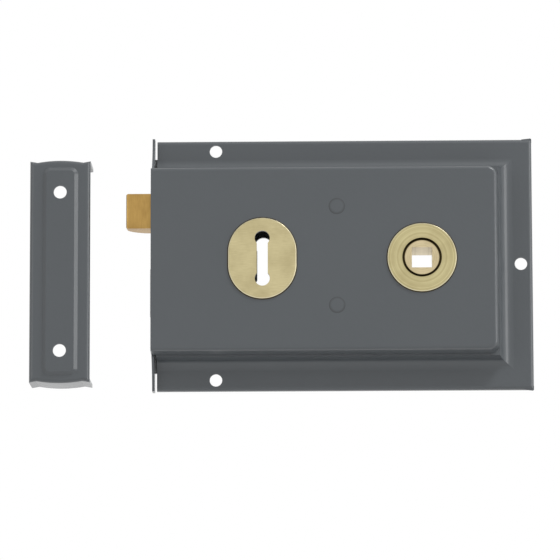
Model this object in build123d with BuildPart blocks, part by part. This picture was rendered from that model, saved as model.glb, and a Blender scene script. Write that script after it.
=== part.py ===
from build123d import *
import os
from math import atan2, cos, degrees, sin

# Rim box lock, in millimetres.
# X runs along the lock away from the door's edge, Z is up, and the front faces -Y.
# Y = 0 is the door's surface, so a height h in front of the door is Y = -h.
# X = 0, Z = 0 is the middle of the case.

# Case
case_length = 152.4
case_height = 101.6
case_depth = 20.0
sheet = 1.2
plate = 1.5
forend_sheet = 1.0
flange_front = plate + sheet
slope_inset = 8.1
wall_foot_inset = 12.1
wall_foot_front = 7.0
ledge_inset = 12.6
ledge_front = 12.0
box_foot_inset = 13.3
box_edge_inset = 14.0
end_slope_inset = 8.0
end_wall_foot_inset = 12.8
end_ledge_inset = 13.7
end_box_foot_inset = 13.9
end_box_edge_inset = 14.8
box_corner = 3.4
box_edge_round = 1.3
flange_edge_round = 1.5
flange_horn = 0.4
flange_horn_run = 4.0
skirt_setback = 1.8

# Fits
overrun = 1.0
fixed_fit = 0.05
running_fit = 0.06
slide_fit = 0.3
side_gap = 0.4

# Case screw holes
screw_hole_radius = 2.5
upright_screw_x = -50.8
upright_screw_inset = 4.3
end_screw_inset = 4.7

# Backsets of the keyhole and the spindle, from the forend's face
keyhole_backset = 44.45
spindle_backset = 107.95

# Forend
forend_room = 0.2
shoulder_room = 0.4
ear_overhang = 0.4
ear_front = 5.6
tab_width = 9.0
tab_length = 9.0
tab_inset = 3.4
tab_rivet_radius = 1.6
tab_rivet_head_radius = 2.8
tab_rivet_head = 1.2
rivet_taper = 30
forend_corner = 1.0

# Back plate
back_edge_inset = 7.3
back_end_inset = 7.4
back_corner = 4.0

# Keyhole and its brass plate
keyhole_radius = 3.0
keyhole_spread = 8.1
keyhole_slot = 4.4
keyhole_back_room = 0.3
escutcheon_width = 27.8
escutcheon_height = 33.1
trim_proud = 0.8
trim_chamfer = 0.6
spigot_wall = 2.2

# Spindle bush
bush_radius = 14.05
bush_recess_radius = 7.75
bush_barrel_radius = 9.5
bush_recess_depth = 2.9
bush_length = 3.6

# Follower
journal_radius = 7.0
journal_front = 20.3
journal_back = 0.3
hub_radius = 9.0
hub_back = 8.0
hub_front = 16.2
spindle_square = 8.1
arm_width = 6.0
arm_reach = 15.0
arm_back = 3.0
arm_front = 7.5

# Pillars between the face and the back plate
pillar_x = -3.2
pillar_spread = 19.9
pillar_radius = 2.6
pillar_spigot_radius = 2.0
pillar_thread_radius = 1.5
pillar_thread_depth = 6.0
pillar_screw_head_radius = 2.6
pillar_screw_head_depth = 1.2

# Latch
latch_low = 13.0
latch_high = 27.0
latch_back = 4.0
latch_front = 16.0
latch_throw = 10.0
latch_rear_x = -61.0
latch_tip_thickness = 3.4
latch_edge_round = 0.8
tail_thickness = 2.5
tail_low = 14.5
tail_high = 25.5
tail_overlap = 8.0
bridge_low = 17.3
bridge_start_x = 20.0
yoke_gap = 6.8
yoke_width = 5.0
nose_near = 9.0
nose_far = 15.6
rivet_radius = 1.3
rivet_spacing = 6.0

# Latch spring
post_x = -38.0
post_radius = 2.6
post_spigot_radius = 1.4
post_front = 14.2
post_hole_room = 0.2
rod_radius = 1.5
rod_height = 11.0
rod_slack = 6.0
spring_radius = 3.5
spring_wire = 0.9
spring_turns = 6

# Deadbolt
bolt_low = -22.9
bolt_high = -3.1
bolt_back = 4.5
bolt_front = 15.5
bolt_throw = 12.7
bolt_proud = 0.4
bolt_rear_x = -54.0
bolt_edge_round = 0.5
bolt_tail_overlap = 6.0
bolt_rivet_spacing = 4.0
band_low = -28.0
band_high = -15.0
band_end_x = 17.0
talon_width = 8.4
talon_depth = 4.6
stump_x = -17.0
stump_z = -24.5
stump_side = 3.0
stump_front = 12.0

# Levers
lever_thickness = 1.8
lever_first_back = 7.5
lever_gap = 0.4
lever_left_x = -46.0
lever_low = -29.6
lever_high = -15.0
lever_eye_radius = 5.4
lever_bite_radius = 9.4
lever_lifts = (2.2, 2.8)
lever_taper_x = -13.0
gate_room = 0.45
gate_steps = 4
pocket_extra = 0.7
leaf_thickness = 0.5
leaf_width = 1.4
leaf_foot_x = -8.0
leaf_bend_x = -14.0
leaf_tip_x = -32.0
spacer_radius = 4.6

# Box keep, which stands on the door frame beside the forend
keep_near_x = -100.4
keep_length = 24.2
keep_top = 40.6
keep_bottom = -49.2
keep_depth = 18.0
keep_bulge = 0.8
keep_edge_round = 1.6
keep_horn = 0.5
keep_horn_run = 3.0
keep_panel_mouth_inset = 4.9
keep_panel_inset = 5.2
keep_panel_end_inset = 3.0
keep_panel_rise = 1.2
keep_panel_taper = 50
keep_panel_corner = 3.0
keep_hole_radius = 2.6
keep_hole_inset = 12.2
keep_hole_top_inset = 13.2
keep_hole_bottom_inset = 12.8

# Places that follow from the sizes above
forend_x = -case_length / 2
inner_x = forend_x + forend_sheet
skirt_x = forend_x + skirt_setback
right_x = case_length / 2
top_z = case_height / 2
inside_front = case_depth - sheet
forend_half = top_z - box_edge_inset - sheet - forend_room
forend_front = inside_front - forend_room
shoulder_half = top_z - ledge_inset
shoulder_front = ledge_front - shoulder_room
ear_half = top_z + ear_overhang
tab_centre = forend_half - tab_inset
back_half = top_z - back_edge_inset
keyhole_x = forend_x + keyhole_backset
spindle_x = forend_x + spindle_backset
back_plate_x = inner_x + fixed_fit
back_plate_end = right_x - back_end_inset
trim_front = case_depth + trim_proud
latch_z = (latch_low + latch_high) / 2
latch_tip_x = forend_x - latch_throw
tail_back = latch_back
yoke_x = spindle_x + arm_width / 2 + yoke_gap
nose_x = spindle_x + arm_width / 2 + slide_fit
band_back = bolt_back
band_front = bolt_back + tail_thickness
bolt_face_x = forend_x - bolt_proud
stump_reach = pillar_x - stump_x + bolt_throw
screw_taper = degrees(atan2(pillar_screw_head_radius - pillar_thread_radius, pillar_screw_head_depth))
lever_backs = [lever_first_back + step * (lever_thickness + lever_gap) for step in (0, 1)]
leaf_floors = [
    -(top_z - ledge_inset - sheet) + slide_fit + leaf_thickness / 2,
    -(top_z - box_foot_inset - sheet) + slide_fit + leaf_thickness / 2,
]
lever_names = ["rear", "front"]
keep_far_x = keep_near_x - keep_length
keep_middle_z = (keep_top + keep_bottom) / 2
keep_height = keep_top - keep_bottom
keep_hole_x = keep_far_x + keep_hole_inset
keep_hole_high = keep_top - keep_hole_top_inset
keep_hole_low = keep_bottom + keep_hole_bottom_inset


def front(height):
    """Plane parallel to the door at a height in front of it, drawn in (X, Z)."""
    return Plane.XZ.offset(height)


def across(x):
    """Plane square to X, drawn in (Z, height)."""
    return Plane(origin=(x, 0, 0), x_dir=(0, 0, 1), z_dir=(1, 0, 0))


def along(z, x=0):
    """Plane square to Z, drawn in (X, height)."""
    return Plane(origin=(x, 0, z), x_dir=(1, 0, 0), z_dir=(0, 0, -1))


def pan_outline(half, slope, wall_foot, wall_top, step):
    """Flange, cove and lower wall on both sides of a centre line, by their insets; step sets it in."""
    foot = overrun if step else 0
    with BuildLine() as outline:
        rise = Polyline(
            (0, -foot),
            (half - step, -foot),
            (half - step, flange_front - step),
            (half - slope, flange_front - step),
        )
        cove = TangentArc(
            rise @ 1,
            (half - wall_foot - step, wall_foot_front),
            tangent=(-1, 0),
        )
        Polyline(
            cove @ 1,
            (half - wall_top - step, ledge_front - step),
            (0, ledge_front - step),
            (0, -foot),
        )
    make_face(outline.edges())
    mirror(about=Plane.YZ)


def box_outline(inset, end_inset, step):
    """Rounded rectangle of the raised box, long enough to run out past the forend."""
    length = case_length - end_inset - step
    height = case_height - 2 * (inset + step)
    with Locations((right_x - end_inset - step - length, 0)):
        Rectangle(2 * length, height)
    fillet(vertices(), box_corner - step)


def pressing(step):
    """Solid form of the pressed case: step 0 is its outside, the sheet's thickness its inside."""
    with BuildPart() as long_form:
        with BuildSketch(across(0)):
            pan_outline(case_height / 2, slope_inset, wall_foot_inset, ledge_inset, step)
        extrude(amount=case_length, both=True)
    with BuildPart() as end_form:
        with BuildSketch(along(0, right_x - case_length)):
            pan_outline(case_length, end_slope_inset, end_wall_foot_inset, end_ledge_inset, step)
        extrude(amount=case_height, both=True)
    with BuildPart() as form:
        add(long_form.part)
        add(end_form.part, mode=Mode.INTERSECT)
        with BuildSketch(front(ledge_front - step)):
            box_outline(box_foot_inset, end_box_foot_inset, step)
        with BuildSketch(front(case_depth - step)):
            box_outline(box_edge_inset, end_box_edge_inset, step)
        loft(ruled=True)
        rim = form.faces().sort_by(Axis.Y)[0].edges()
        fillet(rim, box_edge_round - step / 2)
    return form.part


def keyhole_face(room):
    """Keyhole with a round end above and below a slot."""
    with Locations((keyhole_x, keyhole_spread), (keyhole_x, -keyhole_spread)):
        Circle(keyhole_radius + room)
    with Locations((keyhole_x, 0)):
        Rectangle(keyhole_slot + 2 * room, 2 * keyhole_spread)


def upright_stadium(x, width, height):
    """Stadium standing on end."""
    with Locations((x, 0)):
        SlotOverall(height, width, rotation=90)


def slot_face(x_low, x_high, z, half):
    """Slot with round ends, from one end centre to the other."""
    with Locations(((x_low + x_high) / 2, z)):
        SlotCenterToCenter(x_high - x_low, 2 * half)


def finish(builder, label):
    """Name a piece and write it to its own file."""
    builder.part.label = label
    export_step(builder.part, f"parts/{label}.step")


os.makedirs("parts", exist_ok=True)

# Case shell, one pressing with its left end open for the forend
case_screws = [
    (upright_screw_x, top_z - upright_screw_inset),
    (upright_screw_x, -top_z + upright_screw_inset),
    (right_x - end_screw_inset, 0),
]
with BuildPart() as case_shell:
    add(pressing(0))
    add(pressing(sheet), mode=Mode.SUBTRACT)
    with BuildSketch(front(-overrun)):
        with Locations((forend_x - case_length, 0)):
            Rectangle(2 * case_length, 2 * case_height)
    extrude(amount=case_depth + 2 * overrun, mode=Mode.SUBTRACT)
    with BuildSketch(front(-overrun)):
        with Locations((skirt_x - case_length, 0)):
            Rectangle(2 * case_length, 2 * case_height)
    extrude(amount=ledge_front + overrun, mode=Mode.SUBTRACT)
    with BuildSketch(front(0)):
        with Locations(*case_screws):
            Circle(screw_hole_radius)
    extrude(amount=case_depth, mode=Mode.SUBTRACT)
    with BuildSketch(front(ledge_front)):
        upright_stadium(
            keyhole_x,
            2 * (keyhole_radius + spigot_wall + fixed_fit),
            2 * (keyhole_spread + keyhole_radius + spigot_wall + fixed_fit),
        )
        with Locations((spindle_x, 0)):
            Circle(bush_barrel_radius + fixed_fit)
        with Locations((pillar_x, pillar_spread), (pillar_x, -pillar_spread)):
            Circle(pillar_spigot_radius)
    extrude(amount=case_depth, mode=Mode.SUBTRACT)
    flange_rim = (
        case_shell.edges()
        .filter_by(lambda e: abs(e.center().Y + flange_front) < fixed_fit)
        .filter_by(
            lambda e: abs(abs(e.center().Z) - top_z) < fixed_fit
            or abs(e.center().X - right_x) < fixed_fit
        )
    )
    fillet(flange_rim, flange_edge_round)
    with BuildSketch(front(plate)):
        for side in (1, -1):
            with BuildLine():
                Polyline(
                    (right_x - flange_edge_round, side * (top_z - flange_edge_round)),
                    (right_x - flange_horn_run, side * (top_z - flange_edge_round)),
                    (right_x - flange_horn_run, side * top_z),
                    (right_x - flange_horn, side * (top_z + flange_horn)),
                    (right_x, side * top_z),
                    (right_x, side * (top_z - flange_edge_round)),
                    close=True,
                )
            make_face()
    extrude(amount=sheet / 2)
finish(case_shell, "case_shell")

# Back plate, the flat cover against the door
pillars = [(pillar_x, pillar_spread), (pillar_x, -pillar_spread)]
tab_rivets = [(inner_x + tab_length / 2, tab_centre), (inner_x + tab_length / 2, -tab_centre)]
with BuildPart() as back_plate:
    with BuildSketch(front(0)):
        with Locations(((back_plate_x + back_plate_end) / 2, 0)):
            Rectangle(back_plate_end - back_plate_x, 2 * back_half)
        fillet(vertices().group_by(Axis.X)[-1], back_corner)
        with Locations((spindle_x, 0)):
            Circle(journal_radius + running_fit, mode=Mode.SUBTRACT)
        with Locations(*pillars):
            Circle(pillar_thread_radius + fixed_fit, mode=Mode.SUBTRACT)
        with Locations((post_x, latch_z)):
            Circle(post_spigot_radius, mode=Mode.SUBTRACT)
        with Locations(*tab_rivets):
            Circle(tab_rivet_radius, mode=Mode.SUBTRACT)
    extrude(amount=plate)
    with BuildSketch(front(0)):
        keyhole_face(keyhole_back_room)
    extrude(amount=plate, mode=Mode.SUBTRACT)
    with BuildSketch(front(0)):
        with Locations(*pillars):
            Circle(pillar_screw_head_radius + fixed_fit)
    extrude(amount=pillar_screw_head_depth, taper=screw_taper, mode=Mode.SUBTRACT)
finish(back_plate, "back_plate")

# Forend, the plate in the door's edge, with ears that close the ends of the flange
with BuildPart() as forend_plate:
    with BuildSketch(across(forend_x)):
        with BuildLine():
            foot = Polyline((0, 0), (ear_half, 0), (ear_half, ear_front))
            shoulder = TangentArc(
                foot @ 1,
                (shoulder_half, shoulder_front),
                tangent=(-1, 0),
            )
            Polyline(
                shoulder @ 1,
                (forend_half, shoulder_front),
                (forend_half, forend_front),
                (0, forend_front),
                (0, 0),
            )
        make_face()
        mirror(about=Plane.YZ)
        fillet(vertices().group_by(Axis.Y)[-1], forend_corner)
        with Locations((latch_z, (latch_back + latch_front) / 2)):
            Rectangle(
                latch_high - latch_low + 2 * slide_fit,
                latch_front - latch_back + 2 * slide_fit,
                mode=Mode.SUBTRACT,
            )
        with Locations(((bolt_low + bolt_high) / 2, (bolt_back + bolt_front) / 2)):
            Rectangle(
                bolt_high - bolt_low + 2 * slide_fit,
                bolt_front - bolt_back + 2 * slide_fit,
                mode=Mode.SUBTRACT,
            )
    extrude(amount=forend_sheet)
    with BuildSketch(front(plate)):
        with Locations(*tab_rivets):
            Rectangle(tab_length, tab_width)
            Circle(tab_rivet_radius, mode=Mode.SUBTRACT)
    extrude(amount=forend_sheet)
finish(forend_plate, "forend_plate")

with BuildPart() as forend_rivets:
    with BuildSketch(front(0)):
        with Locations(*tab_rivets):
            Circle(tab_rivet_radius)
    extrude(amount=plate + forend_sheet)
    with BuildSketch(front(plate + forend_sheet)):
        with Locations(*tab_rivets):
            Circle(tab_rivet_head_radius)
    extrude(amount=tab_rivet_head, taper=rivet_taper)
finish(forend_rivets, "forend_rivets")

# Brass keyhole plate with its spigot through the face
with BuildPart() as keyhole_escutcheon:
    with BuildSketch(front(case_depth)):
        upright_stadium(keyhole_x, escutcheon_width, escutcheon_height)
    extrude(amount=trim_proud)
    chamfer(keyhole_escutcheon.faces().sort_by(Axis.Y)[0].edges(), trim_chamfer)
    with BuildSketch(front(inside_front)):
        upright_stadium(
            keyhole_x,
            2 * (keyhole_radius + spigot_wall),
            2 * (keyhole_spread + keyhole_radius + spigot_wall),
        )
    extrude(amount=sheet)
    with BuildSketch(front(inside_front)):
        keyhole_face(0)
    extrude(amount=trim_front, mode=Mode.SUBTRACT)
finish(keyhole_escutcheon, "keyhole_escutcheon")

# Brass spindle bush, a ring with a recess round the follower and a barrel that it turns in
with BuildPart() as spindle_bush:
    with BuildSketch(front(case_depth)):
        with Locations((spindle_x, 0)):
            Circle(bush_radius)
    extrude(amount=trim_proud)
    chamfer(spindle_bush.faces().sort_by(Axis.Y)[0].edges(), trim_chamfer)
    with BuildSketch(front(trim_front - bush_length)):
        with Locations((spindle_x, 0)):
            Circle(bush_barrel_radius)
    extrude(amount=bush_length - trim_proud)
    with BuildSketch(front(trim_front - bush_length)):
        with Locations((spindle_x, 0)):
            Circle(journal_radius + running_fit)
    extrude(amount=bush_length, mode=Mode.SUBTRACT)
    with BuildSketch(front(trim_front - bush_recess_depth)):
        with Locations((spindle_x, 0)):
            Circle(bush_recess_radius)
    extrude(amount=bush_recess_depth, mode=Mode.SUBTRACT)
finish(spindle_bush, "spindle_bush")

# Follower, the hub that the spindle turns
with BuildPart() as follower:
    with BuildSketch(front(journal_back)):
        with Locations((spindle_x, 0)):
            Circle(journal_radius)
    extrude(amount=journal_front - journal_back)
    with BuildSketch(front(hub_back)):
        with Locations((spindle_x, 0)):
            Circle(hub_radius)
    extrude(amount=hub_front - hub_back)
    with BuildSketch(front(arm_back)):
        upright_stadium(spindle_x, arm_width, 2 * arm_reach)
    extrude(amount=arm_front - arm_back)
    with BuildSketch(front(0)):
        with Locations((spindle_x, 0)):
            Rectangle(spindle_square, spindle_square)
    extrude(amount=trim_front, mode=Mode.SUBTRACT)
finish(follower, "follower")

# Pillars riveted into the face, and the screws that hold the back plate to them
for name, z in (("pillar_upper", pillar_spread), ("pillar_lower", -pillar_spread)):
    with BuildPart() as pillar:
        with BuildSketch(front(plate)):
            with Locations((pillar_x, z)):
                Circle(pillar_radius)
        extrude(amount=inside_front - plate)
        with BuildSketch(front(inside_front)):
            with Locations((pillar_x, z)):
                Circle(pillar_spigot_radius)
        extrude(amount=sheet)
        with BuildSketch(front(plate)):
            with Locations((pillar_x, z)):
                Circle(pillar_thread_radius)
        extrude(amount=pillar_thread_depth, mode=Mode.SUBTRACT)
    finish(pillar, name)

with BuildPart() as pillar_screws:
    with BuildSketch(front(0)):
        with Locations(*pillars):
            Circle(pillar_screw_head_radius)
    extrude(amount=pillar_screw_head_depth, taper=screw_taper)
    with BuildSketch(front(pillar_screw_head_depth)):
        with Locations(*pillars):
            Circle(pillar_thread_radius)
    extrude(amount=plate + pillar_thread_depth - pillar_screw_head_depth - side_gap)
    with BuildSketch(front(0)):
        with Locations(*pillars):
            Rectangle(2 * pillar_screw_head_radius, pillar_thread_radius / 2)
    extrude(amount=pillar_screw_head_depth / 2, mode=Mode.SUBTRACT)
finish(pillar_screws, "pillar_screws")

# Latch head, with its curved bevel on the door side
with BuildPart() as latch_bolt:
    with BuildSketch(along(latch_z)):
        with BuildLine():
            face = Polyline(
                (forend_x, latch_back),
                (latch_rear_x, latch_back),
                (latch_rear_x, latch_front),
                (latch_tip_x, latch_front),
                (latch_tip_x, latch_front - latch_tip_thickness),
            )
            TangentArc(
                face @ 0,
                face @ 1,
                tangent=(-1, 0),
            )
        make_face()
    extrude(amount=(latch_high - latch_low) / 2, both=True)
    fillet(latch_bolt.faces().sort_by(Axis.X)[0].edges(), latch_edge_round)
    with BuildSketch(front(tail_back)):
        with Locations((latch_rear_x, latch_z)):
            Rectangle(2 * tail_overlap, tail_high - tail_low)
    extrude(amount=tail_thickness, mode=Mode.SUBTRACT)
    with BuildSketch(front(tail_back)):
        with Locations(
            (latch_rear_x - tail_overlap / 2, latch_z + rivet_spacing / 2),
            (latch_rear_x - tail_overlap / 2, latch_z - rivet_spacing / 2),
        ):
            Circle(rivet_radius)
    extrude(amount=latch_front - tail_back, mode=Mode.SUBTRACT)
finish(latch_bolt, "latch_bolt")

# Latch tail, a plate over the follower that ends in a yoke in front of its arms
tail_start_x = latch_rear_x - tail_overlap
with BuildPart() as latch_tail:
    with BuildSketch(front(tail_back)):
        with Locations(((tail_start_x + bridge_start_x) / 2, latch_z)):
            Rectangle(bridge_start_x - tail_start_x, tail_high - tail_low)
        with Locations(((bridge_start_x + yoke_x + yoke_width) / 2, (bridge_low + tail_high) / 2)):
            Rectangle(yoke_x + yoke_width - bridge_start_x, tail_high - bridge_low)
        with Locations((yoke_x + yoke_width / 2, (bridge_low - nose_far) / 2)):
            Rectangle(yoke_width, bridge_low + nose_far)
        with Locations(
            ((nose_x + yoke_x) / 2, (nose_near + nose_far) / 2),
            ((nose_x + yoke_x) / 2, -(nose_near + nose_far) / 2),
        ):
            Rectangle(yoke_x - nose_x, nose_far - nose_near)
        fillet(vertices().group_by(Axis.X)[-1], forend_corner)
    extrude(amount=tail_thickness)
    with BuildSketch(front(tail_back)):
        slot_face(post_x - latch_throw, post_x, latch_z, post_radius + side_gap)
        slot_face(pillar_x - latch_throw, pillar_x, latch_z, pillar_radius + side_gap)
        with Locations(
            (latch_rear_x - tail_overlap / 2, latch_z + rivet_spacing / 2),
            (latch_rear_x - tail_overlap / 2, latch_z - rivet_spacing / 2),
        ):
            Circle(rivet_radius)
    extrude(amount=tail_thickness, mode=Mode.SUBTRACT)
finish(latch_tail, "latch_tail")

with BuildPart() as latch_rivets:
    with BuildSketch(front(tail_back)):
        with Locations(
            (latch_rear_x - tail_overlap / 2, latch_z + rivet_spacing / 2),
            (latch_rear_x - tail_overlap / 2, latch_z - rivet_spacing / 2),
        ):
            Circle(rivet_radius)
    extrude(amount=latch_front - tail_back)
finish(latch_rivets, "latch_rivets")

# Guide rod screwed into the latch head, running through the spring post
rod = Plane(origin=(latch_rear_x, -rod_height, latch_z), x_dir=(0, 0, 1), z_dir=(1, 0, 0))
with BuildPart() as latch_spring_guide:
    with BuildSketch(rod):
        Circle(rod_radius)
    extrude(amount=post_x - latch_rear_x + rod_slack)
finish(latch_spring_guide, "latch_spring_guide")

with BuildPart() as latch_spring_post:
    with BuildSketch(front(plate)):
        with Locations((post_x, latch_z)):
            Circle(post_radius)
    extrude(amount=post_front - plate)
    with BuildSketch(front(0)):
        with Locations((post_x, latch_z)):
            Circle(post_spigot_radius)
    extrude(amount=plate)
    with BuildSketch(rod):
        Circle(rod_radius + post_hole_room)
    extrude(amount=case_length, mode=Mode.SUBTRACT)
finish(latch_spring_post, "latch_spring_post")

spring_length = post_x - post_radius - latch_rear_x - spring_wire
with BuildPart() as latch_spring:
    with BuildLine():
        Helix(
            pitch=spring_length / spring_turns,
            height=spring_length,
            radius=spring_radius,
            center=(latch_rear_x + spring_wire / 2, -rod_height, latch_z),
            direction=(1, 0, 0),
        )
    path = latch_spring.pending_edges[0]
    with BuildSketch(Plane(origin=path @ 0, z_dir=path % 0)):
        Circle(spring_wire / 2)
    sweep(path=path)
finish(latch_spring, "latch_spring")

# Deadbolt head, riveted to its tail
bolt_z = (bolt_low + bolt_high) / 2
bolt_rivet_z = (bolt_low + band_high) / 2
bolt_rivets = [
    (bolt_rear_x - bolt_tail_overlap / 2, bolt_rivet_z + bolt_rivet_spacing / 2),
    (bolt_rear_x - bolt_tail_overlap / 2, bolt_rivet_z - bolt_rivet_spacing / 2),
]
with BuildPart() as deadbolt_head:
    with BuildSketch(front(bolt_back)):
        with Locations(((bolt_face_x + bolt_rear_x) / 2, bolt_z)):
            Rectangle(bolt_rear_x - bolt_face_x, bolt_high - bolt_low)
    extrude(amount=bolt_front - bolt_back)
    fillet(deadbolt_head.edges(), bolt_edge_round)
    with BuildSketch(front(bolt_back)):
        with Locations((bolt_rear_x, (band_low + band_high) / 2)):
            Rectangle(2 * bolt_tail_overlap, band_high - band_low)
    extrude(amount=tail_thickness, mode=Mode.SUBTRACT)
    with BuildSketch(front(bolt_back)):
        with Locations(*bolt_rivets):
            Circle(rivet_radius)
    extrude(amount=bolt_front - bolt_back, mode=Mode.SUBTRACT)
finish(deadbolt_head, "deadbolt_head")

# Deadbolt tail, with the talon for the key and a slot that rides on the lower pillar
band_start_x = bolt_rear_x - bolt_tail_overlap
talon_x = keyhole_x + bolt_throw / 2
with BuildPart() as deadbolt_tail:
    with BuildSketch(front(band_back)):
        with Locations(((band_start_x + band_end_x) / 2, (band_low + band_high) / 2)):
            Rectangle(band_end_x - band_start_x, band_high - band_low)
        fillet(vertices().group_by(Axis.X)[-1], forend_corner)
        with Locations((talon_x, band_high)):
            Rectangle(talon_width, 2 * talon_depth, mode=Mode.SUBTRACT)
        with Locations(*bolt_rivets, (stump_x, stump_z)):
            Circle(rivet_radius, mode=Mode.SUBTRACT)
    extrude(amount=tail_thickness)
    with BuildSketch(front(band_back)):
        slot_face(pillar_x, pillar_x + bolt_throw, -pillar_spread, pillar_radius + side_gap)
    extrude(amount=tail_thickness, mode=Mode.SUBTRACT)
finish(deadbolt_tail, "deadbolt_tail")

with BuildPart() as deadbolt_rivets:
    with BuildSketch(front(bolt_back)):
        with Locations(*bolt_rivets):
            Circle(rivet_radius)
    extrude(amount=bolt_front - bolt_back)
finish(deadbolt_rivets, "deadbolt_rivets")

# Stump on the deadbolt's tail, which runs through the gates of the levers
with BuildPart() as bolt_stump:
    with BuildSketch(front(band_back)):
        with Locations((stump_x, stump_z)):
            Circle(rivet_radius)
    extrude(amount=tail_thickness)
    with BuildSketch(front(band_front)):
        with Locations((stump_x, stump_z)):
            Rectangle(stump_side, stump_side)
    extrude(amount=stump_front - band_front)
finish(bolt_stump, "bolt_stump")


def gate_path(lift):
    """Centres of the stump in a lever's own frame, while the lever turns with the deadbolt's throw."""
    centres = []
    for step in range(gate_steps + 1):
        share = step / gate_steps
        angle = share * lift / stump_reach
        run = stump_x - share * bolt_throw - pillar_x
        drop = stump_z + pillar_spread
        centres.append(
            (
                pillar_x + run * cos(angle) + drop * sin(angle),
                -pillar_spread - run * sin(angle) + drop * cos(angle),
            )
        )
    return centres


# Levers on the lower pillar, each with a gate for the stump and a belly for the key,
# and under each a leaf spring whose foot lies on the case's lower wall
gate_half = stump_side / 2 + gate_room
for name, lift, back, floor in zip(lever_names, lever_lifts, lever_backs, leaf_floors):
    path = gate_path(lift)
    with BuildPart() as lever:
        with BuildSketch(front(back)):
            with BuildLine():
                lower = Polyline(
                    (lever_left_x, lever_high),
                    (lever_left_x, lever_low),
                    (lever_taper_x, lever_low),
                    (pillar_x, -pillar_spread - lever_eye_radius),
                )
                eye = ThreePointArc(
                    lower @ 1,
                    (pillar_x + lever_eye_radius, -pillar_spread),
                    (pillar_x, -pillar_spread + lever_eye_radius),
                )
                Polyline(eye @ 1, (lever_taper_x, lever_high), (lever_left_x, lever_high))
            make_face()
            with Locations((keyhole_x, -keyhole_spread)):
                Circle(lever_bite_radius, mode=Mode.SUBTRACT)
            with Locations((pillar_x, -pillar_spread)):
                Circle(pillar_radius + running_fit, mode=Mode.SUBTRACT)
        extrude(amount=lever_thickness)
        with BuildSketch(front(back)):
            with BuildLine():
                Polyline(
                    *[(x, z + gate_half) for x, z in path],
                    *[(x, z - gate_half) for x, z in reversed(path)],
                    close=True,
                )
            make_face()
            with Locations(path[0], path[-1]):
                Rectangle(2 * (gate_half + pocket_extra), 2 * (gate_half + pocket_extra))
        extrude(amount=lever_thickness, mode=Mode.SUBTRACT)
    finish(lever, f"lever_{name}")
    with BuildPart() as leaf:
        with BuildSketch(front(back + (lever_thickness - leaf_width) / 2)):
            with BuildLine():
                foot = Line((leaf_foot_x, floor), (leaf_bend_x, floor))
                TangentArc(
                    foot @ 1,
                    (leaf_tip_x, lever_low - leaf_thickness),
                    tangent=(-1, 0),
                )
            trace(line_width=leaf_thickness)
        extrude(amount=leaf_width)
    finish(leaf, f"lever_spring_{name}")

# Spacer sleeve that holds the levers back on their pillar
with BuildPart() as lever_spacer:
    with BuildSketch(front(lever_backs[-1] + lever_thickness + lever_gap)):
        with Locations((pillar_x, -pillar_spread)):
            Circle(spacer_radius)
            Circle(pillar_radius + fixed_fit, mode=Mode.SUBTRACT)
    extrude(amount=inside_front - fixed_fit - lever_backs[-1] - lever_thickness - lever_gap)
finish(lever_spacer, "lever_spacer")


def keep_outline(step, mouth_x):
    """Front outline of the keep, whose top and bottom bulge between horned corners; step sets it in."""
    left_x = keep_far_x + step
    half = keep_height / 2 - step
    ends = [(left_x, left_x + keep_horn_run), (mouth_x, mouth_x - keep_horn_run)]
    with BuildLine() as outline:
        for side in (1, -1):
            ThreePointArc(
                (ends[0][1], keep_middle_z + side * (half - keep_bulge)),
                ((left_x + mouth_x) / 2, keep_middle_z + side * half),
                (ends[1][1], keep_middle_z + side * (half - keep_bulge)),
            )
            for corner_x, notch_x in ends:
                Line(
                    (corner_x, keep_middle_z + side * (half - keep_bulge + keep_horn)),
                    (notch_x, keep_middle_z + side * (half - keep_bulge)),
                )
        for corner_x, _ in ends:
            Line(
                (corner_x, keep_middle_z - half + keep_bulge - keep_horn),
                (corner_x, keep_middle_z + half - keep_bulge + keep_horn),
            )
    make_face(outline.edges())


def keep_form(step):
    """Solid form of the keep: step 0 is its outside, the sheet's thickness its inside."""
    reach = overrun if step else 0
    with BuildPart() as form:
        with BuildSketch(front(-reach)):
            keep_outline(step, keep_near_x + reach)
        extrude(amount=keep_depth - step + reach)
        with BuildSketch(front(keep_depth - step)):
            with Locations((keep_panel_x, keep_middle_z)):
                Rectangle(keep_panel_width - step, keep_height - 2 * keep_panel_end_inset - step)
            fillet(vertices(), keep_panel_corner)
        extrude(amount=keep_panel_rise, taper=keep_panel_taper)
    return form.part


# Box keep, open at the back and on the side that faces the forend
keep_panel_width = keep_length - keep_panel_inset - keep_panel_mouth_inset
keep_panel_x = keep_far_x + keep_panel_inset + keep_panel_width / 2
with BuildPart() as keep_outside:
    add(keep_form(0))
    face_edges = (
        keep_outside.edges()
        .filter_by(lambda e: abs(e.center().Y + keep_depth) < fixed_fit)
        .filter_by(
            lambda e: abs(e.center().X - keep_panel_x) > keep_panel_width / 2 + keep_edge_round
            or abs(e.center().Z - keep_middle_z) > keep_height / 2 - keep_edge_round
        )
    )
    fillet(face_edges, keep_edge_round)
with BuildPart() as keep_shell:
    add(keep_outside.part)
    add(keep_form(sheet), mode=Mode.SUBTRACT)
    with BuildSketch(front(keep_depth / 2)):
        with Locations((keep_hole_x, keep_hole_high), (keep_hole_x, keep_hole_low)):
            Circle(keep_hole_radius)
    extrude(amount=keep_depth, mode=Mode.SUBTRACT)
finish(keep_shell, "keep_shell")
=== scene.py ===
"""Rim box lock: grey stoved case with brass trim, a spring latch, a deadbolt and a box keep."""

import logging
import math
from dataclasses import dataclass
from enum import Enum
from typing import Iterable

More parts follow.
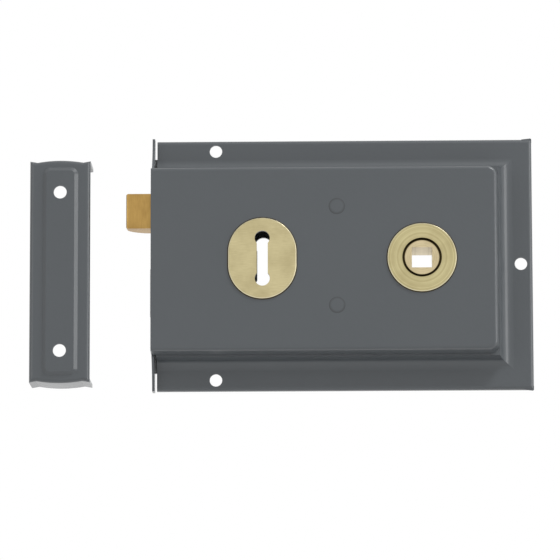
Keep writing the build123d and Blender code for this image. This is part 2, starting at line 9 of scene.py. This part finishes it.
import bpy
import numpy as np
from mathutils import Euler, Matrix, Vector

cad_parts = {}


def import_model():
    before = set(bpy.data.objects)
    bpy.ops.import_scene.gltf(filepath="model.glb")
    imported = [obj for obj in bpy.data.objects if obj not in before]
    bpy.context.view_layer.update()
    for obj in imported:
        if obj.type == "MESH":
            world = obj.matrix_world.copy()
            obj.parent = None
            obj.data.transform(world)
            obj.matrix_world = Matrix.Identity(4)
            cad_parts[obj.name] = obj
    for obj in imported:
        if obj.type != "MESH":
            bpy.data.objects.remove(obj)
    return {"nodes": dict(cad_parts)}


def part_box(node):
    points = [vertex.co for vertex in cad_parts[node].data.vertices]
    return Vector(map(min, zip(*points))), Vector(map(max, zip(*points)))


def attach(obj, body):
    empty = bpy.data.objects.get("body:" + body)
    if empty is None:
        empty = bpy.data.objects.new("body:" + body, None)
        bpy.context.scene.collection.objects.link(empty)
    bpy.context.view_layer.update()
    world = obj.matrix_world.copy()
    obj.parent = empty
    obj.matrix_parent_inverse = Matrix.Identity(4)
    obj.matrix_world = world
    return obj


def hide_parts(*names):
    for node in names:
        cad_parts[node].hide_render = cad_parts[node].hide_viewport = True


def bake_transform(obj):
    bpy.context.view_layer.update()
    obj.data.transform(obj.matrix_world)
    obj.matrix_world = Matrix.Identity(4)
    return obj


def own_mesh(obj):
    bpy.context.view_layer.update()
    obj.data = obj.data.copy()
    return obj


log = logging.getLogger("rim_lock")

MM = 0.001
OPAQUE = 1
WHITE = (1, 1, 1, OPAQUE)
Colour = tuple[float, float, float]
Span = tuple[float, float]


class Ray(Enum):
    """Kinds of ray that see the white surroundings."""

    CAMERA = "Is Camera Ray"
    GLOSSY = "Is Glossy Ray"
    TRANSMISSION = "Is Transmission Ray"


class Join(Enum):
    """Ways of joining two patterns."""

    PRODUCT = "MULTIPLY"
    HIGHER = "MAXIMUM"


def srgb(red: int, green: int, blue: int) -> Colour:
    """Linear colour of an sRGB triple, by the usual curve with its straight foot.

    Args:
        red: red from 0 to 255.
        green: green from 0 to 255.
        blue: blue from 0 to 255.

    Returns:
        The three linear values from 0 to 1.
    """
    full, knee, foot_slope, offset, power = 255, 0.04045, 12.92, 0.055, 2.4
    values = np.array([red, green, blue]) / full
    linear = np.where(values <= knee, values / foot_slope, ((values + offset) / (1 + offset)) ** power)
    return tuple(float(v) for v in linear)


def joined(
    tree: bpy.types.NodeTree, way: Join, first: bpy.types.NodeSocket, second: bpy.types.NodeSocket
) -> bpy.types.NodeSocket:
    """Two patterns joined into one.

    Args:
        tree: the node tree that holds them.
        way: how they are joined.
        first: a pattern.
        second: another pattern.

    Returns:
        The socket of the joined pattern.
    """
    node = tree.nodes.new("ShaderNodeMath")
    node.operation = way.value
    tree.links.new(first, node.inputs[0])
    tree.links.new(second, node.inputs[1])
    return node.outputs["Value"]


class Graph:
    """Node graph of one material, with patterns on Object coordinates."""

    def __init__(self, name: str) -> None:
        """Start a material with a Principled shader and its output.

        Args:
            name: the material's name.
        """
        self.material = bpy.data.materials.new(name)
        self.material.use_nodes = True
        self.nodes = self.material.node_tree.nodes
        self.links = self.material.node_tree.links
        self.shader = self.nodes["Principled BSDF"]
        self.place = self.nodes.new("ShaderNodeTexCoord").outputs["Object"]

    def set(self, **sockets: float) -> None:
        """Set constants on the shader's own sockets, with underscores for spaces."""
        for key, value in sockets.items():
            self.shader.inputs[key.replace("_", " ")].default_value = value

    def stretch(self, scale: tuple[float, float, float]) -> bpy.types.NodeSocket:
        """Object coordinates multiplied along each axis.

        Args:
            scale: factor along X, Y and Z.

        Returns:
            The socket of the stretched coordinates.
        """
        mapping = self.nodes.new("ShaderNodeMapping")
        mapping.inputs["Scale"].default_value = scale
        self.links.new(self.place, mapping.inputs["Vector"])
        return mapping.outputs["Vector"]

    def noise(
        self, scale: float, detail: float = 3, place: bpy.types.NodeSocket | None = None
    ) -> bpy.types.NodeSocket:
        """Cloudy pattern from 0 to 1.

        Args:
            scale: cells per metre.
            detail: layers of finer cells.
            place: coordinates, or Object coordinates if none.

        Returns:
            The pattern's socket.
        """
        node = self.nodes.new("ShaderNodeTexNoise")
        node.inputs["Scale"].default_value = scale
        node.inputs["Detail"].default_value = detail
        self.links.new(place or self.place, node.inputs["Vector"])
        return node.outputs["Fac"]

    def ramp(self, value: bpy.types.NodeSocket, low: float, high: float) -> bpy.types.NodeSocket:
        """Black below low, white above high, and a smooth run between.

        Args:
            value: the pattern.
            low: where the run starts.
            high: where it ends.

        Returns:
            The socket of the ramped pattern.
        """
        node = self.nodes.new("ShaderNodeMapRange")
        node.interpolation_type = "SMOOTHSTEP"
        node.inputs["From Min"].default_value = low
        node.inputs["From Max"].default_value = high
        self.links.new(value, node.inputs["Value"])
        return node.outputs["Result"]

    def fall(self, value: bpy.types.NodeSocket, low: float, high: float) -> bpy.types.NodeSocket:
        """White below low, black above high, and a smooth run between.

        Args:
            value: the pattern.
            low: where the run starts.
            high: where it ends.

        Returns:
            The socket of the falling pattern.
        """
        ramped = self.ramp(value, low, high)
        ramped.node.inputs["To Min"].default_value = 1
        ramped.node.inputs["To Max"].default_value = 0
        return ramped

    def span(self, value: bpy.types.NodeSocket, low: float, high: float) -> bpy.types.NodeSocket:
        """Pattern from 0 to 1 brought to a range of values.

        Args:
            value: the pattern.
            low: what 0 becomes.
            high: what 1 becomes.

        Returns:
            The socket of the new values.
        """
        node = self.nodes.new("ShaderNodeMapRange")
        node.inputs["To Min"].default_value = low
        node.inputs["To Max"].default_value = high
        self.links.new(value, node.inputs["Value"])
        return node.outputs["Result"]

    def tint(
        self, factor: bpy.types.NodeSocket, first: Colour | bpy.types.NodeSocket, second: Colour
    ) -> bpy.types.NodeSocket:
        """Colour that runs from first to second with a pattern.

        Args:
            factor: the pattern, 0 for first and 1 for second.
            first: a colour, or the socket of one.
            second: a colour.

        Returns:
            The socket of the mixed colour.
        """
        node = self.nodes.new("ShaderNodeMix")
        node.data_type = "RGBA"
        self.links.new(factor, node.inputs["Factor"])
        if isinstance(first, tuple):
            node.inputs["A"].default_value = (*first, OPAQUE)
        else:
            self.links.new(first, node.inputs["A"])
        node.inputs["B"].default_value = (*second, OPAQUE)
        return node.outputs["Result"]

    def length_from(self, centre: tuple[float, float, float]) -> bpy.types.NodeSocket:
        """Distance in metres from an axis along Y through a centre.

        Args:
            centre: a point of the axis.

        Returns:
            The socket of the distance.
        """
        mapping = self.nodes.new("ShaderNodeMapping")
        mapping.inputs["Location"].default_value = (-centre[0], 0, -centre[2])
        mapping.inputs["Scale"].default_value = (1, 0, 1)
        self.links.new(self.place, mapping.inputs["Vector"])
        length = self.nodes.new("ShaderNodeVectorMath")
        length.operation = "LENGTH"
        self.links.new(mapping.outputs["Vector"], length.inputs[0])
        return length.outputs["Value"]

    def along(self, axis: str) -> bpy.types.NodeSocket:
        """Object coordinate along one axis, in metres.

        Args:
            axis: X, Y or Z.

        Returns:
            The coordinate's socket.
        """
        split = self.nodes.new("ShaderNodeSeparateXYZ")
        self.links.new(self.place, split.inputs["Vector"])
        return split.outputs[axis]

    def product(self, first: bpy.types.NodeSocket, second: bpy.types.NodeSocket) -> bpy.types.NodeSocket:
        """One pattern times another."""
        return joined(self.material.node_tree, Join.PRODUCT, first, second)

    def bump(self, heights: Iterable[tuple[bpy.types.NodeSocket, float]]) -> None:
        """Lay patterns over the surface as relief.

        Args:
            heights: each pattern with its height in metres.
        """
        normal = None
        for value, height in heights:
            node = self.nodes.new("ShaderNodeBump")
            node.inputs["Distance"].default_value = height
            self.links.new(value, node.inputs["Height"])
            if normal:
                self.links.new(normal, node.inputs["Normal"])
            normal = node.outputs["Normal"]
        self.links.new(normal, self.shader.inputs["Normal"])

    def link(self, value: bpy.types.NodeSocket, socket: str) -> None:
        """Lead a pattern into one of the shader's sockets."""
        self.links.new(value, self.shader.inputs[socket])


@dataclass(frozen=True)
class StovedPaint:
    """Semi-gloss grey paint baked on pressed steel, with a faint orange peel."""

    name: str = "stoved_grey_paint"
    colour: Colour = srgb(70, 75, 79)
    pale: Colour = srgb(77, 82, 86)
    roughness: Span = (0.37, 0.49)
    coat: float = 0.6
    coat_roughness: float = 0.14
    cloud_scale: float = 28
    cloud_detail: float = 4
    cloud_share: float = 0.55
    patch_scale: float = 84
    peel_scale: float = 520
    grain_scale: float = 2600
    grain_detail: float = 2
    peel_height: float = 0.00005
    grain_height: float = 0.000008

    def shade(self, graph: Graph, colour: bpy.types.NodeSocket) -> bpy.types.NodeSocket:
        """Colour with the shade that gathers in its hollows: none on a plain face."""
        return colour

    def build(self) -> bpy.types.Material:
        """Paint with cloudy colour, and a peel and grain in its relief.

        Returns:
            The finished material.
        """
        graph = Graph(self.name)
        graph.set(Coat_Weight=self.coat, Coat_Roughness=self.coat_roughness)
        cloud = graph.noise(self.cloud_scale, self.cloud_detail)
        colour = graph.tint(graph.span(cloud, 0, self.cloud_share), self.colour, self.pale)
        graph.link(self.shade(graph, colour), "Base Color")
        graph.link(graph.span(graph.noise(self.patch_scale), *self.roughness), "Roughness")
        graph.bump([
            (graph.noise(self.peel_scale, self.grain_detail), self.peel_height),
            (graph.noise(self.grain_scale, self.grain_detail), self.grain_height),
        ])
        return graph.material


@dataclass(frozen=True)
class SpotPaint(StovedPaint):
    """Stoved paint over a riveted end, with painted shade that darkens it towards its rim."""

    centre: tuple[float, float, float] = (0, 0, 0)
    rim: float = 3.0 * MM
    rim_width: float = 1.4 * MM
    rim_shade: Colour = srgb(46, 50, 53)

    def shade(self, graph: Graph, colour: bpy.types.NodeSocket) -> bpy.types.NodeSocket:
        """Colour with painted shade: a dark rim whose tone grows over its width."""
        # painted shade: the paint darkens towards the rim of the riveted end, where its moat lies
        edge = graph.ramp(graph.length_from(self.centre), self.rim - self.rim_width, self.rim)
        return graph.tint(edge, colour, self.rim_shade)


@dataclass(frozen=True)
class WornBrass:
    """Brass with a dull film, fine grinding lines and a little tarnish."""

    name: str
    colour: Colour
    tarnish: Colour
    roughness: Span = (0.25, 0.45)
    cloud_scale: float = 130
    cloud_detail: float = 5
    cloud_span: Span = (0.35, 0.75)
    film: float = 0.35
    lines: tuple[float, float, float] = (1, 1, 18)
    line_scale: float = 240
    line_detail: float = 4
    line_height: float = 0.00001
    line_span: Span = (0.38, 0.62)
    line_film: float = 0.15

    def relief(self, graph: Graph) -> bpy.types.NodeSocket:
        """Grinding lines along one axis."""
        return graph.noise(self.line_scale, self.line_detail, graph.stretch(self.lines))

    def painted_light(self, graph: Graph, colour: bpy.types.NodeSocket) -> bpy.types.NodeSocket:
        """Colour with the painted shade and highlight of its edges and corners: none on a plain piece.
        """
        return colour

    def build(self) -> bpy.types.Material:
        """Metal whose colour drifts to tarnish in clouds, with its ground lines in the relief.

        Returns:
            The finished material.
        """
        graph = Graph(self.name)
        graph.set(Metallic=1.0)
        cloud = graph.ramp(graph.noise(self.cloud_scale, self.cloud_detail), *self.cloud_span)
        colour = graph.tint(graph.span(cloud, 0, self.film), self.colour, self.tarnish)
        ground = self.relief(graph)
        streaks = graph.span(graph.ramp(ground, *self.line_span), 0, self.line_film)
        colour = graph.tint(streaks, colour, self.tarnish)
        graph.link(self.painted_light(graph, colour), "Base Color")
        graph.link(graph.span(ground, *self.roughness), "Roughness")
        graph.bump([(ground, self.line_height)])
        return graph.material


@dataclass(frozen=True)
class TrimBrass(WornBrass):
    """Worn brass of a plate let into the face, with painted shade where it meets the paint and a painted
    highlight on its edge.
    """

    painted_shade: Colour = srgb(66, 56, 34)
    face: float = 0.02
    shade_rise: float = 0.63 * MM
    shade_fade: float = 0.126 * MM
    painted_highlight: Colour = srgb(238, 230, 198)
    front: float = 0.0208
    highlight_start: float = 0.03 * MM

    def painted_light(self, graph: Graph, colour: bpy.types.NodeSocket) -> bpy.types.NodeSocket:
        """Painted shade up to a small height over the face, and a painted highlight on the edge from
        there to the front.

        Args:
            graph: the material's graph.
            colour: the clean brass.

        Returns:
            The socket of the colour with its painted shade at the foot and painted highlight on the
            edge.
        """
        place = graph.along("Y")
        # painted highlight: everything behind the front surface, the edge, chamfer and sides, is made
        # paler
        edge = graph.ramp(place, -self.front, -self.front + self.highlight_start)
        colour = graph.tint(edge, colour, self.painted_highlight)
        # painted shade: the foot of the plate next to the paint is darkened
        top = -self.face - self.shade_rise
        foot_shade = graph.ramp(place, top, top + self.shade_fade)
        return graph.tint(foot_shade, colour, self.painted_shade)


@dataclass(frozen=True)
class TurnedBrass(TrimBrass):
    """Trim brass turned on a lathe, with rings of tool marks and rings of painted shade round the
    middle.
    """

    centre: tuple[float, float, float] = (0, 0, 0)
    ring_scale: float = 900
    ring_detail: float = 3
    let_in: bool = True
    shade_rings: tuple[Span, ...] = ()
    line_film: float = 0.4
    ring_edge: float = 0.25 * MM

    def relief(self, graph: Graph) -> bpy.types.NodeSocket:
        """Tool marks: a cloudy pattern that depends only on the distance from the axis."""
        return graph.noise(self.ring_scale, self.ring_detail, graph.length_from(self.centre))

    def painted_light(self, graph: Graph, colour: bpy.types.NodeSocket) -> bpy.types.NodeSocket:
        """Painted shade between the radii of each ring, and at the foot of a piece let into the face,
        with its painted edge highlight.

        Args:
            graph: the material's graph.
            colour: the clean brass.

        Returns:
            The socket of the colour with its painted shade and highlight.
        """
        if self.let_in:
            colour = super().painted_light(graph, colour)
        for inner, outer in self.shade_rings:
            distance = graph.length_from(self.centre)
            # painted shade in each ring: the recess and the gap round the follower are darkened
            ring = graph.product(
                graph.ramp(distance, inner - self.ring_edge, inner),
                graph.fall(distance, outer, outer + self.ring_edge),
            )
            colour = graph.tint(ring, colour, self.painted_shade)
        return colour


@dataclass(frozen=True)
class MillSteel:
    """Plain steel with rolling lines and faint stains."""

    name: str
    colour: Colour
    stain: Colour
    roughness: Span = (0.28, 0.5)
    lines: tuple[float, float, float] = (1, 12, 12)
    line_scale: float = 180
    line_detail: float = 4
    line_height: float = 0.000012
    stain_scale: float = 90
    stain_detail: float = 5
    stain_span: Span = (0.5, 0.8)
    stain_film: float = 0.6

    def build(self) -> bpy.types.Material:
        """Metal with lines along X and cloudy stains.

        Returns:
            The finished material.
        """
        graph = Graph(self.name)
        graph.set(Metallic=1.0)
        stains = graph.ramp(graph.noise(self.stain_scale, self.stain_detail), *self.stain_span)
        colour = graph.tint(graph.span(stains, 0, self.stain_film), self.colour, self.stain)
        graph.link(colour, "Base Color")
        ground = graph.noise(self.line_scale, self.line_detail, graph.stretch(self.lines))
        graph.link(graph.span(ground, *self.roughness), "Roughness")
        graph.bump([(ground, self.line_height)])
        return graph.material


def make_mesh(name: str, points: np.ndarray, faces: list[np.ndarray]) -> bpy.types.Object:
    """Mesh object from an array of points and arrays of faces.

    Args:
        name: the piece's name.
        points: N by 3 places in metres.
        faces: arrays of M by 3 or M by 4 indices.

    Returns:
        The object, smooth, at the origin.
    """
    mesh = bpy.data.meshes.new(name)
    corners = np.concatenate([block.ravel() for block in faces]).astype(np.int32)
    sides = np.concatenate([np.full(len(block), block.shape[1]) for block in faces])
    starts = np.concatenate([[0], np.cumsum(sides)[:-1]]).astype(np.int32)
    mesh.vertices.add(len(points))
    mesh.vertices.foreach_set("co", np.asarray(points, np.float32).ravel())
    mesh.loops.add(len(corners))
    mesh.loops.foreach_set("vertex_index", corners)
    mesh.polygons.add(len(starts))
    mesh.polygons.foreach_set("loop_start", starts)
    mesh.update(calc_edges=True)
    mesh.polygons.foreach_set("use_smooth", np.ones(len(starts), bool))
    piece = bpy.data.objects.new(name, mesh)
    bpy.context.scene.collection.objects.link(piece)
    return piece


def ring_faces(rings: int, sides: int) -> np.ndarray:
    """Four-cornered faces between closed rings of points, counted ring by ring from index 0.

    Args:
        rings: number of rings.
        sides: points round each ring.

    Returns:
        An M by 4 array of indices.
    """
    ring = np.arange(rings - 1)[:, None] * sides
    side = np.arange(sides)[None, :]
    after = (side + 1) % sides
    corners = [ring + side, ring + sides + side, ring + sides + after, ring + after]
    return np.stack([np.broadcast_to(c, corners[0].shape) for c in corners], -1).reshape(-1, 4)


def cap_faces(pole: int, first: int, sides: int, last: bool) -> np.ndarray:
    """Triangles that close a ring of points with a pole.

    Args:
        pole: index of the pole.
        first: index of the ring's first point.
        sides: points round the ring.
        last: whether the pole comes after the ring.

    Returns:
        An M by 3 array of indices.
    """
    side = np.arange(sides)
    near, far = first + side, first + (side + 1) % sides
    if last:
        near, far = far, near
    return np.stack([np.full(sides, pole), near, far], -1)


def turned(
    name: str, centre: Vector, radii: np.ndarray, heights: np.ndarray, sides: int = 64
) -> bpy.types.Object:
    """Turned surface about an axis along Y: each profile point runs round a circle.

    A point at angle a is the centre plus (r cos a, -h, r sin a). The first and last profile
    points lie on the axis and close the surface as poles.

    Args:
        name: the piece's name.
        centre: middle of the axis' foot.
        radii: radius of each profile point, in metres.
        heights: height of each profile point towards the front, in metres.
        sides: points round the circle.

    Returns:
        The mesh object.
    """
    angle = np.linspace(0, 2 * math.pi, sides, endpoint=False)[None, :]
    radius, height = radii[1:-1, None], heights[1:-1, None]
    rings = np.stack([
        centre.x + radius * np.cos(angle),
        np.broadcast_to(centre.y - height, (len(radii) - 2, sides)),
        centre.z + radius * np.sin(angle),
    ], -1).reshape(-1, 3)
    poles = [[centre.x, centre.y - heights[0], centre.z], [centre.x, centre.y - heights[-1], centre.z]]
    faces = [
        ring_faces(len(radii) - 2, sides),
        cap_faces(len(rings), 0, sides, False),
        cap_faces(len(rings) + 1, len(rings) - sides, sides, True),
    ]
    return make_mesh(name, np.concatenate([rings, poles]), faces)


def dress(names: Iterable[str], material: bpy.types.Material) -> None:
    """Give CAD nodes a material and report them.

    Args:
        names: the nodes.
        material: the finish they wear.
    """
    for name in names:
        node = frame["nodes"][name]
        node.data.materials.clear()
        node.data.materials.append(material)
        log.info("dressed %s in %s", name, material.name)


@dataclass
class Casework:
    """Pressed case, back plate, forend, keep, pillars and the painted rivet ends in the face."""

    spot_radius: float = 1.9 * MM
    spot_rise: float = 0.16 * MM
    spot_shift: tuple[float, float, float] = (1.15 * MM, 0, 1.0 * MM)
    moat_width: float = 1.5 * MM
    moat_drop: float = 0.02 * MM
    top_share: float = 0.6
    rim_points: int = 12
    paint: StovedPaint = StovedPaint()
    pressed: tuple[str, ...] = ("case_shell", "back_plate", "forend_plate", "keep_shell")
    pillars: tuple[str, ...] = ("pillar_upper", "pillar_lower")

    def spot_centre(self, pillar: str) -> Vector:
        """Middle of a riveted end, which spreads a little off its pillar's axis.

        Args:
            pillar: the node whose end shows in the face.

        Returns:
            A point of the face.
        """
        low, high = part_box(pillar)
        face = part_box("case_shell")[0].y
        return Vector(((low.x + high.x) / 2, face, (low.z + high.z) / 2)) + Vector(self.spot_shift)

    def rivet_spot(self, pillar: str) -> bpy.types.Object:
        """Paint over the riveted end of a pillar.

        The profile is a flat top whose rim falls as a quarter cosine to the face.

        Args:
            pillar: the node whose end shows in the face.

        Returns:
            The low round piece.
        """
        share = np.linspace(0, 1, self.rim_points)
        rim = self.spot_radius + self.moat_width * share
        fall = self.spot_rise * np.cos(share * math.pi / 2) - self.moat_drop * share
        radii = np.concatenate([[0, self.spot_radius * self.top_share], rim, [0]])
        heights = np.concatenate([[self.spot_rise, self.spot_rise], fall, [-self.moat_drop]])
        return turned(f"rivet_spot_{pillar.split('_')[1]}", self.spot_centre(pillar), radii, heights)

    def build(self) -> None:
        """Dress the pressed pieces and add the painted rivet ends."""
        dress(self.pressed + self.pillars, self.paint.build())
        for pillar in self.pillars:
            spot = self.rivet_spot(pillar)
            centre = tuple(self.spot_centre(pillar))
            rim = self.spot_radius + self.moat_width
            paint = SpotPaint(f"{pillar}_paint", centre=centre, rim=rim)
            spot.data.materials.append(paint.build())
            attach(spot, "case")
            log.info("added %s", spot.name)


@dataclass
class BrassTrim:
    """Keyhole plate, spindle bush, follower, latch head and levers."""

    plate: WornBrass = TrimBrass("plate_brass", srgb(205, 193, 150), srgb(150, 136, 96))
    latch: WornBrass = WornBrass("latch_brass", srgb(188, 153, 90), srgb(122, 88, 42), lines=(18, 1, 1))
    lever: WornBrass = WornBrass(
        "lever_brass", srgb(205, 178, 112), srgb(140, 112, 66), lines=(1, 18, 18)
    )
    ring_tone: Colour = srgb(206, 196, 150)
    hub_tone: Colour = srgb(222, 206, 168)
    turned_tarnish: Colour = srgb(156, 140, 98)
    journal_radius: float = 7.0 * MM
    recess_radius: float = 7.75 * MM
    hub_edge: float = 0.05 * MM

    def build(self) -> None:
        """Dress the brass pieces, the turned ones about the middle of their bush."""
        low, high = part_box("spindle_bush")
        centre = tuple((low + high) / 2)
        # painted shade on the bush inside its recess, and on the follower's edge beside the gap
        bush = TurnedBrass(
            "bush_brass", self.ring_tone, self.turned_tarnish,
            centre=centre, shade_rings=((0, self.recess_radius),),
        )
        hub = TurnedBrass(
            "follower_brass", self.hub_tone, self.turned_tarnish,
            centre=centre, let_in=False,
            shade_rings=((self.journal_radius - self.hub_edge, self.recess_radius),),
        )
        dress(("keyhole_escutcheon",), self.plate.build())
        dress(("spindle_bush",), bush.build())
        dress(("follower",), hub.build())
        dress(("latch_bolt",), self.latch.build())
        dress(("lever_front", "lever_rear"), self.lever.build())


@dataclass
class Steelwork:
    """Deadbolt, tails, rivets, screws, springs and posts."""

    mill: MillSteel = MillSteel("mill_steel", srgb(168, 168, 166), srgb(110, 104, 96))
    bolt: MillSteel = MillSteel(
        "ground_steel", srgb(176, 177, 178), srgb(122, 120, 116), roughness=(0.2, 0.42)
    )
    spring: MillSteel = MillSteel(
        "spring_steel", srgb(120, 124, 132), srgb(78, 76, 80), roughness=(0.18, 0.4)
    )
    mill_nodes: tuple[str, ...] = (
        "forend_rivets", "pillar_screws", "latch_tail", "latch_rivets", "latch_spring_guide",
        "latch_spring_post", "deadbolt_tail", "deadbolt_rivets", "bolt_stump", "lever_spacer",
    )

    def build(self) -> None:
        """Dress the steel pieces."""
        dress(self.mill_nodes, self.mill.build())
        dress(("deadbolt_head",), self.bolt.build())
        dress(("latch_spring", "lever_spring_front", "lever_spring_rear"), self.spring.build())


@dataclass
class Springs:
    """Coil behind the latch and leaves under the levers, as copies of their CAD springs."""

    latch_travel: float = 10.0 * MM
    leaf_foot: float = 6.0 * MM

    def pliant(self, node_name: str) -> bpy.types.Object:
        """Copy of a CAD spring, in its place, with a mesh of its own.

        Args:
            node_name: the spring's node.

        Returns:
            The piece that stands for it.
        """
        node = frame["nodes"][node_name]
        piece = bpy.data.objects.new(f"{node_name}_pliant", node.data.copy())
        piece.data.transform(node.matrix_world)
        bpy.context.scene.collection.objects.link(piece)
        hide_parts(node_name)
        log.info("added %s", piece.name)
        return piece

    def build(self) -> None:
        """Copy the coil onto the case, and each leaf with its place baked into its mesh."""
        coil = self.pliant("latch_spring")
        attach(coil, "case")
        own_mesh(coil)
        for lever in ("lever_front", "lever_rear"):
            node_name = lever.replace("lever", "lever_spring")
            leaf = self.pliant(node_name)
            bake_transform(leaf)


@dataclass(frozen=True)
class Lamp:
    """Square lamp aimed at the lock: its place and side in metres, and its power in watts."""

    name: str
    place: tuple[float, float, float]
    power: float
    side: float

    def build(self) -> None:
        """Hang the lamp and turn it to the lock."""
        data = bpy.data.lights.new(self.name, "AREA")
        data.energy = self.power
        data.size = self.side
        lamp = bpy.data.objects.new(self.name, data)
        lamp.location = self.place
        lamp.rotation_mode = "QUATERNION"
        lamp.rotation_quaternion = (-Vector(self.place)).to_track_quat("-Z", "Y")
        bpy.context.scene.collection.objects.link(lamp)


@dataclass
class Studio:
    """Floor, surroundings, lamps and the camera at the photograph's angle."""

    floor_drop: float = 0.62
    floor_radius: float = 6.0
    floor_sides: int = 96
    floor_colour: Colour = (0.86, 0.86, 0.86)
    floor_pale: Colour = (0.9, 0.9, 0.9)
    floor_cloud_scale: float = 2.5
    floor_roughness: float = 0.9
    sky_level: float = 0.4
    lamps: tuple[Lamp, ...] = (
        Lamp("key_lamp", (0.9, -0.8, 1.5), 21, 0.6),
        Lamp("side_lamp", (2.3, -1.0, 0.25), 13, 1.3),
        Lamp("fill_lamp", (-1.3, -1.4, 0.2), 3, 1.0),
    )
    sensor: float = 36
    photo_width: float = 560
    focal_pixels: float = 4500
    camera_place: tuple[float, float, float] = (0.01466, -1.78457, -0.28954)
    camera_yaw: float = 1.2784
    camera_pitch: float = 9.0383
    camera_roll: float = 0.1298

    def floor(self) -> None:
        """Pale round floor: a middle point and two rings of points round it."""
        radii = np.array([self.floor_radius / 3, self.floor_radius])[:, None]
        angle = np.linspace(0, 2 * math.pi, self.floor_sides, endpoint=False)[None, :]
        level = np.full((2, self.floor_sides), -self.floor_drop)
        points = np.stack([radii * np.cos(angle), radii * np.sin(angle), level], -1).reshape(-1, 3)
        middle = [[0, 0, -self.floor_drop]]
        faces = [ring_faces(2, self.floor_sides), cap_faces(len(points), 0, self.floor_sides, False)]
        floor = make_mesh("floor", np.concatenate([points, middle]), faces)
        graph = Graph("pale_floor")
        cloud = graph.noise(self.floor_cloud_scale)
        graph.link(graph.tint(cloud, self.floor_colour, self.floor_pale), "Base Color")
        graph.set(Roughness=self.floor_roughness)
        self.white_in_gloss(graph)
        floor.data.materials.append(graph.material)

    def white_in_gloss(self, graph: Graph) -> None:
        """Let gloss and glass see the floor as plain white, while its own look keeps the shadow.

        Args:
            graph: the floor's material.
        """
        white = graph.nodes.new("ShaderNodeEmission")
        path = graph.nodes.new("ShaderNodeLightPath")
        rays = (path.outputs[Ray.GLOSSY.value], path.outputs[Ray.TRANSMISSION.value])
        mix = graph.nodes.new("ShaderNodeMixShader")
        graph.links.new(joined(graph.material.node_tree, Join.HIGHER, *rays), mix.inputs["Fac"])
        graph.links.new(graph.shader.outputs["BSDF"], mix.inputs[1])
        graph.links.new(white.outputs["Emission"], mix.inputs[2])
        graph.links.new(mix.outputs["Shader"], graph.nodes["Material Output"].inputs["Surface"])

    def surroundings(self) -> None:
        """World that lights plainly, and shows white to camera, glossy and transmission rays."""
        world = bpy.data.worlds.new("surroundings")
        bpy.context.scene.world = world
        world.use_nodes = True
        nodes, links = world.node_tree.nodes, world.node_tree.links
        plain = nodes["Background"]
        plain.inputs["Color"].default_value = WHITE
        plain.inputs["Strength"].default_value = self.sky_level
        white = nodes.new("ShaderNodeBackground")
        white.inputs["Color"].default_value = WHITE
        white.inputs["Strength"].default_value = 1
        path = nodes.new("ShaderNodeLightPath")
        seen = path.outputs[Ray.CAMERA.value]
        for ray in (Ray.GLOSSY, Ray.TRANSMISSION):
            seen = joined(world.node_tree, Join.HIGHER, seen, path.outputs[ray.value])
        mix = nodes.new("ShaderNodeMixShader")
        links.new(seen, mix.inputs["Fac"])
        links.new(plain.outputs["Background"], mix.inputs[1])
        links.new(white.outputs["Background"], mix.inputs[2])
        links.new(mix.outputs["Shader"], nodes["World Output"].inputs["Surface"])

    def camera(self) -> None:
        """Long-lens camera that looks up at the face from a little below."""
        data = bpy.data.cameras.new("camera")
        data.sensor_width = self.sensor
        data.lens = self.sensor * self.focal_pixels / self.photo_width
        camera = bpy.data.objects.new("camera", data)
        camera.location = self.camera_place
        look = Euler((math.pi / 2, 0, 0)).to_matrix()
        yaw = Euler((0, 0, math.radians(self.camera_yaw))).to_matrix()
        pitch = Euler((math.radians(self.camera_pitch), 0, 0)).to_matrix()
        roll = Euler((0, math.radians(self.camera_roll), 0)).to_matrix()
        camera.rotation_euler = (yaw @ pitch @ roll @ look).to_euler()
        bpy.context.scene.collection.objects.link(camera)
        bpy.context.scene.camera = camera

    def build(self) -> None:
        """Stage the floor, light the lock and set the camera."""
        self.floor()
        self.surroundings()
        for lamp in self.lamps:
            lamp.build()
        self.camera()
        bpy.context.scene.view_settings.view_transform = "Standard"


def main() -> None:
    """Build the classes in order."""
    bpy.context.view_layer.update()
    for part in (Casework(), BrassTrim(), Steelwork(), Springs(), Studio()):
        part.build()
        log.info("built %s", type(part).__name__)


if __name__ == "__main__":
    logging.basicConfig(level=logging.INFO)
    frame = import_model()
    main()
